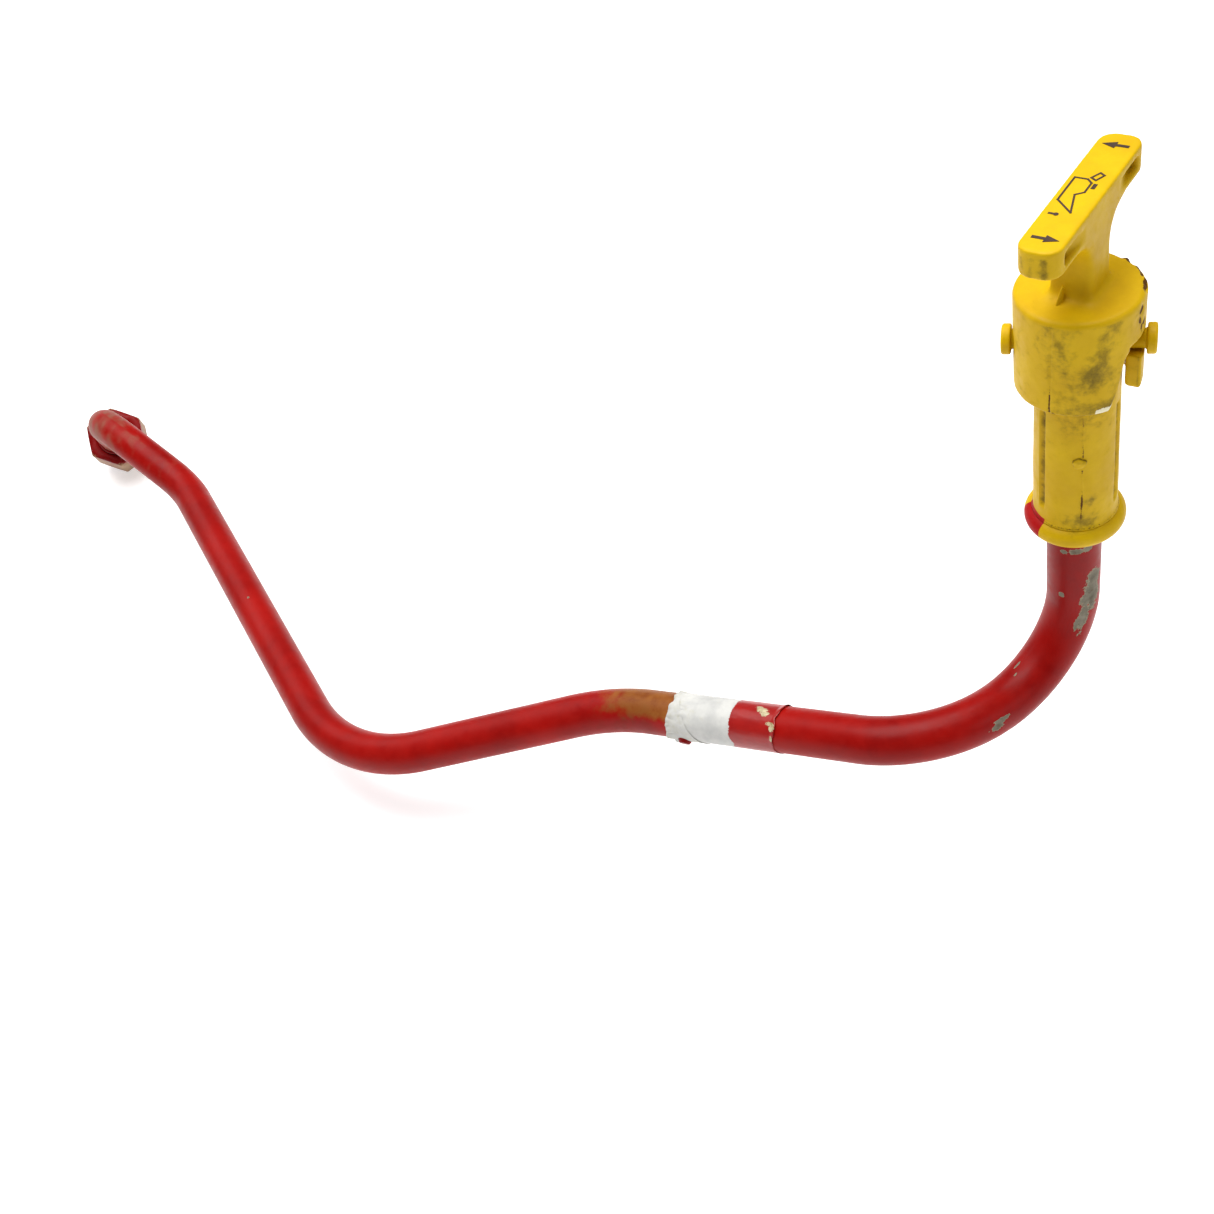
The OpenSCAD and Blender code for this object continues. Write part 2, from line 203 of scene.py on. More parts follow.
def enamelPaint(name="redEnamel", lit=paint["lit"], deep=paint["deep"], high=paint["high"], tubeFields=True):
    # brushed and sprayed machinery enamel on steel: glossy, slightly wavy and thin in places, with chips down
    # to grey primer and dull steel; where set, a pale painted reflection on the tube and pale painted light
    # with wear on the nut
    made, tree, surface, place = newMaterial(name)
    patches = blotches(tree, place, 34, 0.35, 0.66)
    fine = blotches(tree, place, 5, 0.3, 0.7, seed=3)
    grit = blotches(tree, place, 1.1, 0.3, 0.7, seed=5, detail=2)
    thin = addNode(tree, "Math", {0: fine, 1: 0.3}, operation="MULTIPLY").outputs[0]
    colour = layered(tree, deep, (lit, patches), (high, thin))
    rough = addNode(tree, "MapRange", {"Value": fine, "To Min": paint["rough"] - 0.06,
                                       "To Max": paint["rough"] + 0.12}).outputs[0]
    heights = [(blotches(tree, place, 2.6, 0.0, 1.0, seed=8, detail=1), 0.12, 0.3)]
    if tubeFields:
        # a pale painted reflection of the room along the last bend, where the tube's field sets it
        faded = worn(tree, "faded", fine, 0.1, 1.0, 0.25)
        stain = worn(tree, "stain", fine, 0.2, 0.85, 0.35)
        grease = worn(tree, "grease", fine, 0.25, 0.9, 0.3)
        edge = worn(tree, "chip", grit, 0.36, 0.42, 0.34)
        bare = worn(tree, "chip", grit, 0.46, 0.54, 0.34)
        rust = blotches(tree, place, 3, 0.55, 0.75, seed=2)
        steel = layered(tree, paint["chip"], ("#8F8878", fine), ("#5E4A34", rust))
        colour = layered(tree, colour, (paint["faded"], faded),
                         (layered(tree, paint["stainDark"], (paint["stain"], fine)), stain),
                         ("#4A2010", grease), (paint["rim"], edge), (steel, bare))
        rough = addNode(tree, "Mix", {0: edge, 2: rough, 3: 0.62}, data_type="FLOAT").outputs[0]
        rough = addNode(tree, "Mix", {0: faded, 2: rough, 3: 0.55}, data_type="FLOAT").outputs[0]
        flat = addNode(tree, "Math", {0: 1.0, 1: edge}, operation="SUBTRACT").outputs[0]
        heights.append((flat, 0.16, 0.9))
    else:
        # on the nut: pale brown where its field is set, painted light on the lit flats and wear at the corners
        bare = worn(tree, "rubbed", grit, 0.35, 0.9, 0.6)
        colour = layered(tree, colour, (layered(tree, "#8E6C50", ("#A5876C", fine)), bare))
        rough = addNode(tree, "Mix", {0: bare, 2: rough, 3: 0.55}, data_type="FLOAT").outputs[0]
    tree.links.new(colour, surface.inputs["Base Color"])
    tree.links.new(rough, surface.inputs["Roughness"])
    surface.inputs["Specular IOR Level"].default_value = 0.14
    # shop dust that only shows along the grazing edges
    surface.inputs["Sheen Weight"].default_value = 0.06
    surface.inputs["Sheen Roughness"].default_value = 0.4
    surface.inputs["Sheen Tint"].default_value = linear("#E8B4A0")
    raised(tree, surface, heights)
    return made


nylon = dict(lit="#DBB500", deep="#CBA200", grime="#6C5806", soot="#5A3806", scuff="#EFE7C4", rough=0.46)


def mouldedNylon(name="mouldedNylon"):
    # glass-filled nylon, moulded: an even satin skin that has yellowed, with oily dirt worked into it that also
    # carries painted shade, whitish scuffs and a painted highlight on its edges, and brown dirt in its splits
    # and chips and painted shade in hollows
    made, tree, surface, place = newMaterial(name)
    patches = blotches(tree, place, 16, 0.32, 0.7)
    fine = blotches(tree, place, 3.2, 0.3, 0.72, seed=4, detail=6)
    grit = blotches(tree, place, 0.8, 0.3, 0.7, seed=6, detail=3)
    film = addNode(tree, "Math", {0: fine, 1: 0.16}, operation="MULTIPLY").outputs[0]
    line = worn(tree, "soot", grit, 0.4, 0.75, 0.45)
    colour = layered(tree, nylon["deep"], (nylon["lit"], patches), ("#AC8800", film),
                     (layered(tree, nylon["grime"], ("#94790A", grit)),
                      worn(tree, "grime", fine, 0.3, 1.15, 0.75)),
                     (nylon["soot"], line), (nylon["scuff"], worn(tree, "scuff", grit, 0.42, 0.7, 0.5)),
                     ("#A80404", worn(tree, "spray", grit, 0.45, 0.6, 0.12)))
    tree.links.new(colour, surface.inputs["Base Color"])
    rough = addNode(tree, "MapRange", {"Value": fine, "To Min": nylon["rough"] - 0.06,
                                       "To Max": nylon["rough"] + 0.16}).outputs[0]
    rough = addNode(tree, "Mix", {0: line, 2: rough, 3: 0.7}, data_type="FLOAT").outputs[0]
    tree.links.new(rough, surface.inputs["Roughness"])
    surface.inputs["IOR"].default_value = 1.53
    surface.inputs["Specular IOR Level"].default_value = 0.14
    raised(tree, surface, [(patches, 0.25, 0.25), (fine, 0.09, 0.35), (grit, 0.04, 0.3)])
    return made


def plainFinish(name, base, second, size, rough, metal=0.0, depth=0.03, soot="#2A241C"):
    # one substance with two tones in blotches of that size in mm, dirt in larger blotches, and a fine grain
    made, tree, surface, place = newMaterial(name)
    tone = blotches(tree, place, size, 0.35, 0.68)
    grain = blotches(tree, place, max(0.5, size / 6), 0.3, 0.7, seed=2, detail=3)
    dirt = blotches(tree, place, size * 1.7, 0.56, 0.8, seed=9)
    half = addNode(tree, "Math", {0: dirt, 1: 0.5}, operation="MULTIPLY").outputs[0]
    tree.links.new(layered(tree, base, (second, tone), (soot, half)), surface.inputs["Base Color"])
    spread = addNode(tree, "MapRange", {"Value": grain, "To Min": rough - 0.08, "To Max": rough + 0.14})
    tree.links.new(spread.outputs[0], surface.inputs["Roughness"])
    surface.inputs["Metallic"].default_value = metal
    raised(tree, surface, [(grain, depth, 0.4), (tone, depth, 0.3)])
    return made


def paperLabel(name="paperLabel"):
    # coated paper, glued on: dull white, creased and grey with oil at the worn end, and sprayed over with
    # the enamel at the other, where torn bits show the fibre and dry glue
    made, tree, surface, place = newMaterial(name)
    fibre = blotches(tree, place, 2.2, 0.3, 0.7, seed=1, detail=6)
    speck = blotches(tree, place, 0.7, 0.3, 0.7, seed=3, detail=2)
    cloud = blotches(tree, place, 9, 0.35, 0.7, seed=5)
    sprayed = worn(tree, "spray", speck, 0.42, 0.58, 0.3)
    torn = worn(tree, "torn", speck, 0.42, 0.5, 0.4)
    colour = layered(tree, "#D2D1CC", ("#B4B4B2", cloud),
                     ("#B9B49A", worn(tree, "oily", fibre, 0.2, 1.1, 0.6)),
                     (layered(tree, "#920505", ("#A60F06", cloud)), sprayed),
                     (layered(tree, "#D8CDA8", ("#8E7A4C", fibre)), torn))
    tree.links.new(colour, surface.inputs["Base Color"])
    rough = addNode(tree, "Mix", {0: sprayed, 2: 0.6, 3: 0.3}, data_type="FLOAT").outputs[0]
    tree.links.new(rough, surface.inputs["Roughness"])
    raised(tree, surface, [(fibre, 0.12, 0.3), (torn, 0.12, 0.8)])
    return made


redEnamel = enamelPaint()
# the tube's enamel painted darker, as painted shade for the nut's face; its flats take pale painted light with
# wear
nutEnamel = enamelPaint("rubbedEnamel", "#800505", "#640207", "#8A0A05", False)
yellowNylon = mouldedNylon()
padInk = plainFinish("padInk", "#2B1503", "#3F2204", 2.5, 0.5, 0.0, 0.02,
                     "#5A3A06")  # pad-printed ink, worn brown
sealRubber = plainFinish("nitrileRubber", "#141414", "#242322", 4, 0.55)  # moulded nitrile, dull with oil
zincSteel = plainFinish("zincSteel", "#9C9C98", "#7E7C74", 6, 0.36, 1.0,
                        0.02)  # turned steel, bright zinc gone dull
oiledCable = plainFinish("oiledSteelCable", "#76716A", "#4C463C", 3, 0.4, 1.0, 0.08)  # wound steel wire, oily
labelPaper = paperLabel()
print("materials made")


tube = dict(od=19.05, wall=1.65, swage=9.4, up=42, legs=[36.5, 2, 98.5, 77.5, 181, 25, 45.5],
            turns=[160.5, 108.5, 162, 164.5, -114, -151], bends=[99, 67.5, 23, 58, 33.5, 77],
            radii=[36, 46, 100, 78, 45, 38], flare=3, flareAngle=37)


def spin(v, axis, t):
    # v turned about a unit axis by each angle in t (Rodrigues)
    c, s = np.cos(t)[:, None], np.sin(t)[:, None]
    return v * c + np.cross(axis, v) * s + axis * (v @ axis) * (1 - c)


def tubePath(step):
    # stations along the centre line: length from the flange, place, and three axes that never twist about it
    p, axisX, axisY, axisZ = np.zeros(3), np.array([1.0, 0, 0]), np.array([0, -1.0, 0]), np.array([0, 0, -1.0])
    s, total, rows, starts = 0.0, 0.0, [], []
    for k, leg in enumerate(tube["legs"]):
        lift = tube["up"] if k == 0 else 0
        u = np.linspace(-lift, leg, max(3, int((leg + lift) / step)))[:, None]
        starts.append((p.copy(), axisX.copy(), axisY.copy(), axisZ.copy(), total))
        rows.append(np.hstack([s + u, p + u * axisZ, axisX + 0 * u, axisY + 0 * u, axisZ + 0 * u]))
        p, s = p + leg * axisZ, s + leg
        if k < len(tube["bends"]):
            total += tube["turns"][k]
            a, r, full = np.radians(total), tube["radii"][k], np.radians(tube["bends"][k])
            inward = np.cos(a) * axisX + np.sin(a) * axisY
            axis, centre = np.cross(axisZ, inward), p + inward * r
            t = np.linspace(0, full, int(full * r / step))
            rows.append(np.hstack([s + r * t[:, None], centre + spin(p - centre, axis, t),
                                   spin(axisX, axis, t), spin(axisY, axis, t), spin(axisZ, axis, t)])[1:-1])
            end = np.array([full])
            p = centre + spin(p - centre, axis, end)[0]
            axisX, axisY, axisZ = (spin(v, axis, end)[0] for v in (axisX, axisY, axisZ))
            s += r * full
    return np.vstack(rows), starts


def around(path, radius, phi):
    # the surface of a tube on that path: place + radius * (cos phi X + sin phi Y); radius is (rows, cols)
    return (path[:, None, 1:4] + radius[..., None] * (np.cos(phi)[None, :, None] * path[:, None, 4:7]
                                                      + np.sin(phi)[None, :, None] * path[:, None, 7:10]))


path, starts = tubePath(0.72)
keepRow = np.concatenate([[True], np.diff(path[:, 0]) > 1e-6])
path = path[keepRow]
total = path[-1, 0]
cols = 72
phi = np.linspace(-np.pi, np.pi, cols, endpoint=False)
outerR = np.where(path[:, 0] < 0, tube["swage"], tube["od"] / 2)
flareUp = np.clip((path[:, 0] - (total - tube["flare"])) * np.tan(np.radians(tube["flareAngle"])), 0, None)
boreR = tube["od"] / 2 - tube["wall"] + flareUp
inner = path[::5][::-1]
inner = np.vstack([path[-1], inner[inner[:, 0] < total - 0.5]])
outer = around(path, (outerR + flareUp)[:, None] + 0 * phi, phi)
bore = around(inner, boreR[np.searchsorted(path[:, 0], inner[:, 0])][:, None] + 0 * phi, phi)
gaugeTube = gridPiece("enamelledTube", np.concatenate([outer, bore]), flip=True)


def patch(s, a, s0, a0, ls, la):
    # 1 in the middle of an oval patch and 0 at its edge: s along the tube in mm, a round it in degrees
    return 1 - np.hypot((s - s0) / ls, turnedBy(a, a0) / la)


tubeS = np.concatenate([path[:, 0], inner[:, 0]])[:, None] + 0 * phi
tubeDeg = np.degrees(phi)[None, :] + 0 * tubeS
onOuter = (np.arange(len(tubeS)) < len(path))[:, None]
wob = ripple(tubeS, tubeDeg / 6, seed=3, size=9)
chipList = [(31, 76, 13, 24), (42, 92, 12, 16), (24, 70, 6, 24), (47, 104, 5, 8), (31, 144, 1.6, 8),
            (7.6, 114, 1.7, 20),
            (7.2, 88, 2.2, 14), (8.4, 140, 1.3, 10), (79.6, 180, 3.4, 3), (84.5, 166, 2, 3),
            (103.5, 98, 4.2, 7),
            (106, 86, 3.6, 12), (530, 164, 1.1, 5), (190.5, 158, 1.6, 4), (205, -20, 6, 18),
            (330, -60, 5, 12),
            (455, 20, 7, 12), (610, -30, 5, 10), (714, 168, 3, 3)]
chip = np.max([np.clip(patch(tubeS, tubeDeg, *c) + 0.14 * wob, 0, 1) for c in chipList], axis=0)
chip = np.where(chip > 0, 0.25 + 0.75 * chip, 0) * onOuter
# painted reflection: pale over the outside of the last bend, and in patches before it
faded = (smoothStep(tubeS, 668, 722) * (0.62 + 0.2 * wob) * onOuter + 0.28 * smoothStep(tubeS, 560, 668)
         * np.clip(wob, 0, 1))
stain = (smoothStep(tubeS, 236, 240) * (1 - smoothStep(tubeS, 246, 292))
         * smoothStep(np.cos(np.radians(tubeDeg + 172)), -0.35, 0.75))
grease = (0.4 * smoothStep(tubeS, 238, 250) * (1 - smoothStep(tubeS, 262, 320))
          * smoothStep(np.cos(np.radians(tubeDeg - 96)), -0.1, 0.9))
keep(gaugeTube, chip=chip, faded=faded, stain=stain * 1.1, grease=grease)
gaugeTube.data.materials.append(redEnamel)
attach(gaugeTube, "root")
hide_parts("gauge_tube")
print("tube:", len(gaugeTube.data.polygons), "faces")


label = dict(leg=2, start=30.0, end=87.0, thick=0.18, wrap=300.0, turn=95.0, curl=0.5, creases=0.6,
             spiral=269.0)


def legSheet(name, start, end, turn, wrap, base, lift, rows=110, cols=240):
    # a sheet bent round a straight leg: its two faces are base + lift and that plus its thickness,
    # where lift is a function of (share along, share round, angle)
    p, axisX, axisY, axisZ, twist = starts[label["leg"]]
    u, v = np.linspace(0, 1, rows)[:, None], np.linspace(0, 1, cols)[None, :]
    angle = turn + wrap * v + 0 * u
    along, height = lift(u, v, start + (end - start) * u + 0 * v, angle)
    sides = []
    for t in (label["thick"], 0):
        r = base + height + t
        a = np.radians(angle + twist)
        sides.append(p + along[..., None] * axisZ + r[..., None]
                     * (np.cos(a)[..., None] * axisX + np.sin(a)[..., None] * axisY))
    top, under = sides
    n = rows * cols
    faces = gridFaces(rows, cols, False, False)
    rim = np.concatenate([np.arange(cols), np.arange(1, rows) * cols + cols - 1,
                          (rows - 1) * cols + np.arange(cols - 2, -1, -1), np.arange(rows - 2, 0, -1) * cols])
    nextRim = np.roll(rim, -1)
    wall = np.stack([rim, nextRim, nextRim + n, rim + n], -1)
    made = makeMesh(name, np.vstack([top.reshape(-1, 3), under.reshape(-1, 3)]),
                    np.vstack([faces[:, ::-1], faces + n, wall[:, ::-1]]).tolist())
    return made, along, angle + twist


def labelLift(u, v, along, angle):
    seen = angle + label["spiral"]
    worn = smoothStep(u, 0.72, 1.0)
    creases = np.abs(ripple(angle / 9, along / 7, seed=11, size=2.2))
    lip = label["curl"] * (1 - smoothStep(u, 0, 0.05)) * smoothStep(np.cos(np.radians(seen - 165)), -0.2, 0.9)
    ends = 0.35 * (1 - smoothStep(v, 0, 0.03)) + 0.3 * smoothStep(v, 0.97, 1)
    # the worn end runs out of true, and it is torn back round the weld nub
    slant = (-1.6 - 3.0 * np.exp(-(turnedBy(seen, 160) / 45) ** 2)
             - 6.0 * np.exp(-(turnedBy(seen, 35) / 16) ** 2))
    end = along + worn * (slant + 0.8 * ripple(angle / 14, seed=5, size=3))
    cornerTear = 2.2 + 0.5 * ripple(angle / 10, seed=6, size=3) + 2.2 * np.exp(-(turnedBy(seen, 70) / 25) ** 2)
    end = end + (1 - smoothStep(u, 0, 0.14)) * cornerTear
    waves = 0.05 * np.abs(ripple(angle / 12, along / 6, seed=2, size=2))
    return end, 0.03 + label["creases"] * worn * creases + lip + ends + waves


gaugeLabel, along, ang = legSheet("paperLabel", label["start"], label["end"], label["turn"], label["wrap"],
                                  tube["od"] / 2, labelLift)
# length of the tube before that leg: two legs and two bends
before = sum(tube["legs"][k] + tube["radii"][k] * np.radians(tube["bends"][k]) for k in range(label["leg"]))
sLab = along + before
tornSpots = [(195, 168, 3.4, 9), (193, 158, 2.6, 9), (197, 176, 2.0, 6), (188.2, 126, 1.7, 13),
             (189.5, 134, 2.2, 6), (188.6, 100, 0.9, 10)]
tornField = np.max([np.clip(patch(sLab, ang, *c), 0, 1) for c in tornSpots], axis=0)
tornField = np.where(tornField > 0, 0.3 + 0.7 * tornField, 0)
sprayEdge = 208.6 + 0.5 * ripple(ang / 8, seed=9, size=4)
sprayField = 1 - smoothStep(sLab, sprayEdge - 1.6, sprayEdge + 1.2)
oily = smoothStep(sLab, 226, 246) * 0.7 + 0.25 * np.clip(ripple(ang / 20, sLab / 8, seed=4, size=2), 0, 1)
keep(gaugeLabel, spray=np.concatenate([sprayField.ravel()] * 2), torn=np.concatenate([tornField.ravel()] * 2),
     oily=np.concatenate([oily.ravel()] * 2))
gaugeLabel.data.materials.append(labelPaper)
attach(gaugeLabel, "root")
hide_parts("tube_label")


def plyLift(u, v, along, angle):
    creases = np.abs(ripple(angle / 8, along / 6, seed=21, size=2.4))
    seen = angle + label["spiral"]
    first = label["end"] - 18.4 + 12 * v
    last = label["end"] - 4.2 + 2.0 * np.cos(np.radians(seen - 80)) + 0.5 * ripple(angle / 9, seed=8, size=3)
    return first + (last - first) * u, 0.24 + 0.42 * creases * smoothStep(u, 0.25, 1)


gaugePly, along2, ang2 = legSheet("paperPly", label["end"] - 22, label["end"] - 4, label["turn"] + 20, 150.0,
                                  tube["od"] / 2 + label["thick"], plyLift, 60, 140)
zero = np.zeros(along2.size * 2)
keep(gaugePly, spray=zero, torn=zero, oily=zero + 0.4)
gaugePly.data.materials.append(labelPaper)
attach(gaugePly, "root")
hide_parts("label_ply")
print("label made")


nut = dict(flats=31.75, length=27.0, at=31.0, turn=40.0, thread=12.4, relief=12.9, entry=11.1, pitch=2.1,
           chamfer=1.4)


def softMin(a, b, k):
    # the smaller of two, with a rounded corner of about k where they cross
    h = np.clip(0.5 + 0.5 * (b - a) / k, 0, 1)
    return b * (1 - h) + a * h - k * h * (1 - h)


def nutSurface():
    # rows run up the bore, over the open face, down the flats and over the rear face; the flats are
    # apothem / cos(angle from the flat's middle), cut by a cone at each end and rounded at the corners
    a = np.linspace(0, 2 * np.pi, 216, endpoint=False)
    half = nut["flats"] / 2
    side = np.pi / 3
    fromFlat = (a - np.radians(nut["turn"] + 30) + side / 2) % side - side / 2
    corner = half / np.cos(side / 2)
    hexagon = softMin(half / np.cos(fromFlat), corner - 0.2 + 0 * a, 0.22)
    z = np.concatenate([np.linspace(0, 2.4, 18), np.linspace(3.4, nut["length"] - 3.4, 14),
                        np.linspace(nut["length"] - 2.4, nut["length"], 18)])
    edge = np.minimum(z, nut["length"] - z)
    cone = corner - 2.2 + edge * (2.4 / nut["chamfer"])
    outer = softMin(hexagon[None, :] + 0 * z[:, None], cone[:, None] + 0 * a, 0.16)
    zThread = np.linspace(14.5, nut["length"], 70)
    turns = zThread[:, None] / nut["pitch"] - a[None, :] / (2 * np.pi)
    cut = 0.62 * (0.5 - 0.5 * np.cos(2 * np.pi * turns))
    fade = smoothStep(zThread, 14.5, 16.5) * (1 - smoothStep(zThread, nut["length"] - 1.2, nut["length"]))
    mouth = smoothStep(zThread, nut["length"] - 1.0, nut["length"])[:, None] * 0.6
    thread = nut["thread"] + cut * fade[:, None] + mouth
    boreZ = np.array([0, 0.5, 7.9, 9.7, 14.1])
    boreR = np.array([nut["entry"] + 0.4, nut["entry"], nut["entry"], nut["relief"], nut["relief"]])
    radius = np.concatenate([boreR[:, None] + 0 * a, thread, outer[::-1]])
    height = np.concatenate([boreZ, zThread, z[::-1]])
    return radius, height, a


radius, height, a = nutSurface()
legStart, legX, legY, legZ, twist = starts[6]
# the nut's own axes are the bender's axes of the last leg
c, s = np.cos(np.radians(twist)), np.sin(np.radians(twist))
radialX, radialY = legX * c + legY * s, legY * c - legX * s
pts = (legStart + (nut["at"] + height)[:, None, None] * legZ
       + radius[..., None] * (np.cos(a)[None, :, None] * radialX + np.sin(a)[None, :, None] * radialY))
hexNut = gridPiece("hexTubeNut", pts)
# pale on the hex: painted light on the flats, stronger a few mm up the nut, and wear on the corners
edgeWear = np.clip((radius - 16.4) / 1.6, 0, 1) * 0.6
lowEnd = smoothStep(height, 2.0, 6)[:, None]
rubbed = np.where(radius > 15.2, (0.25 + 0.5 * lowEnd + edgeWear), 0.0)
keep(hexNut, rubbed=rubbed)
hexNut.data.materials.append(nutEnamel)
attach(hexNut, "nut")
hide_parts("tube_nut")
print("nut made")


receiver = dict(barrel=14.3, taper=0.5, height=91.0, bore=9.5, throat=8.3, tubeIn=42.0, flange=17.5,
                flangeTall=8.0,
                front=-110.0, grooves=(-120, -60, 60, 120), grooveR=1.6, grooveZ=(14.0, 58.0))


def receiverSurface():
    # a closed profile turned about Z, with four lengthways grooves sunk in the barrel and a bead for a flange
    bead = arcPoints(receiver["flange"] - 4.1, 4.0, 3.9, -88, 88, 22)
    profile = ([[receiver["bore"], 0.2], [receiver["bore"] + 0.4, 0.0]] + bead
               + [[receiver["barrel"] + 0.5, 8.0], [receiver["barrel"] + 0.12, 8.5]]
               + [[receiver["barrel"] - receiver["taper"] * min(1, z / 60), z]
                  for z in np.arange(9.2, 89.6, 0.5)]
               + [[receiver["barrel"] - 0.8, 90.2], [receiver["barrel"] - 1.6, 91.0],
                  [receiver["throat"] + 1, 91.0], [receiver["throat"], 90.0],
                  [receiver["throat"], 44.0], [receiver["throat"], 42.0], [receiver["bore"], 42.0],
                  [receiver["bore"], 33.0], [11.9, 33.0],
                  [11.9, 30.0], [receiver["bore"], 30.0]])
    profile = np.array(profile)
    a = np.linspace(-np.pi, np.pi, 300, endpoint=False)
    r = profile[:, 0][:, None] + 0 * a
    z = profile[:, 1][:, None] + 0 * a
    onBarrel = (profile[:, 0] > 13.0) & (profile[:, 1] > 9)
    deg = np.degrees(a)[None, :] + 0 * r
    depth = 0
    for g in receiver["grooves"]:
        y = (receiver["barrel"] + 0.3) * np.radians(turnedBy(deg, receiver["front"] + g))
        arc = np.sqrt(np.clip(receiver["grooveR"] ** 2 - y ** 2, 0, None)) - 0.3
        ends = np.sqrt(smoothStep(z, receiver["grooveZ"][0], receiver["grooveZ"][0] + 2)
                       * (1 - smoothStep(z, receiver["grooveZ"][1] - 2, receiver["grooveZ"][1])))
        depth = depth + np.clip(arc, 0, None) * ends
    # the mould's parting line stands up as a hair of flash, and the skin is a little wavy
    flash = 0.14 * np.exp(-((turnedBy(deg, receiver["front"]) / 1.3) ** 2)) * (z > 10) * (z < 60)
    wavy = 0.05 * ripple(deg / 9, z / 6, seed=31, size=2)
    r = r - np.where(onBarrel[:, None], depth - flash - wavy, 0)
    return r, z, a, deg, depth * onBarrel[:, None]


r, z, a, deg, sunk = receiverSurface()
sleeve = gridPiece("nylonReceiver", turnedGrid(r, z, a), flip=True)
front = turnedBy(deg, receiver["front"])
line = (np.exp(-(((front - 0.6 * ripple(z, seed=4, size=14)) / 2.0) ** 2)) * (z > 13) * (z < 58)
        * (0.7 + 0.3 * ripple(z, seed=5, size=6)))
line = line * (np.abs(z - 38.5) > 2.6) * np.where(z > 41, 0.75, 1)
# painted shade: a dark ring in the crease above the flange, the barrel's front darkened where it faces away
# from the light, a painted shadow just under the skirt and shade in the grooves; a little dirt all round
ringDirt = np.exp(-((z - 8.6) / 0.7) ** 2) * 0.75 * (r < 15.6)
smudge = (0.75 * np.exp(-((z - 21) / 3) ** 2 - (turnedBy(deg, -98) / 13) ** 2) + 0.8
          * np.exp(-((z - 12) / 4) ** 2 - (turnedBy(deg, -108) / 26) ** 2))
upper = 0.55 * smoothStep(z, 40, 60) * np.exp(-(turnedBy(deg, -118) / 45) ** 2)
inGroove = np.clip(sunk * 0.55, 0, 0.7)
lowSpray = (smoothStep(-np.cos(np.radians(deg)) + 0.25 * np.sin(np.radians(deg)), 0.86, 0.9) * (z < 9.5)
            * (z > 0.6))
sprayed = lowSpray * (turnedBy(deg, 179) > -30) * (turnedBy(deg, 179) < 18)
keep(sleeve, grime=smudge + upper + inGroove + 0.15, soot=np.clip(line * 0.9 + ringDirt * 0.7, 0, 1),
     scuff=0 * r, spray=sprayed)
sleeve.data.materials.append(yellowNylon)
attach(sleeve, "root")
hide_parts("receiver_sleeve")

lugs = dict(turn=-31.0, z=80.0, stem=3.2, head=5.0, inner=11.5, neck=20.6, tip=23.8)


def lugPair():
    # each lug is a profile turned about its own axis: a stem, and a rounded head outside the skirt
    prof = ([[lugs["inner"], 0.02], [lugs["inner"], lugs["stem"]], [lugs["neck"] - 0.5, lugs["stem"]],
             [lugs["neck"], lugs["stem"] + 0.3]]
            + [[lugs["neck"] + 0.05, lugs["head"] - 0.5], [lugs["neck"] + 0.25, lugs["head"] - 0.12],
               [lugs["neck"] + 0.6, lugs["head"]]]
            + [[x, lugs["head"]] for x in np.linspace(lugs["neck"] + 1, lugs["tip"] - 0.9, 5)]
            + [[lugs["tip"] - 0.9 + 0.8 * np.sin(t), lugs["head"] - 0.8 + 0.8 * np.cos(t)]
               for t in np.linspace(0.3, np.pi / 2, 6)]
            + [[lugs["tip"], lugs["head"] - 2.2], [lugs["tip"] - 0.15, 1.6], [lugs["tip"] - 0.3, 0.02]])
    prof = np.array(prof)
    t = np.linspace(0, 2 * np.pi, 48, endpoint=False)
    local = np.stack([prof[:, 0][:, None] + 0 * t, prof[:, 1][:, None] * np.cos(t), prof[:, 1][:, None]
                      * np.sin(t)], -1)
    parts = []
    for side in (0, 180):
        c, s = np.cos(np.radians(lugs["turn"] + side)), np.sin(np.radians(lugs["turn"] + side))
        parts.append(np.stack([local[..., 0] * c - local[..., 1] * s, local[..., 0] * s + local[..., 1] * c,
                               local[..., 2] + lugs["z"]], -1))
    rows, cols = local.shape[:2]
    faces, points = [], []
    for i, part in enumerate(parts):
        start = i * (rows * cols)
        faces += gridFaces(rows, cols, False, True, start)[:, ::-1].tolist()
        faces += [list(range(start, start + cols)),
                  list(range(start + (rows - 1) * cols, start + rows * cols))[::-1]]
        points.append(part.reshape(-1, 3))
    return makeMesh("receiverLugs", np.vstack(points), faces), prof, parts


lugPiece, prof, parts = lugPair()
edge = np.tile(((prof[:, 0] > lugs["tip"] - 0.9) & (prof[:, 1] > lugs["head"] - 0.9))[:, None] * np.ones(48),
               (2, 1))
backSide = np.concatenate([p[..., 0].ravel() for p in parts])
keep(lugPiece, grime=0.25 + 0 * backSide, soot=np.clip(edge.ravel() * 0.32, 0, 1), scuff=0 * backSide,
     spray=0 * backSide)
lugPiece.data.materials.append(yellowNylon)
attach(lugPiece, "root")

pin = dict(turn=-114.0, z=39.0, radius=2.3, tip=14.75)


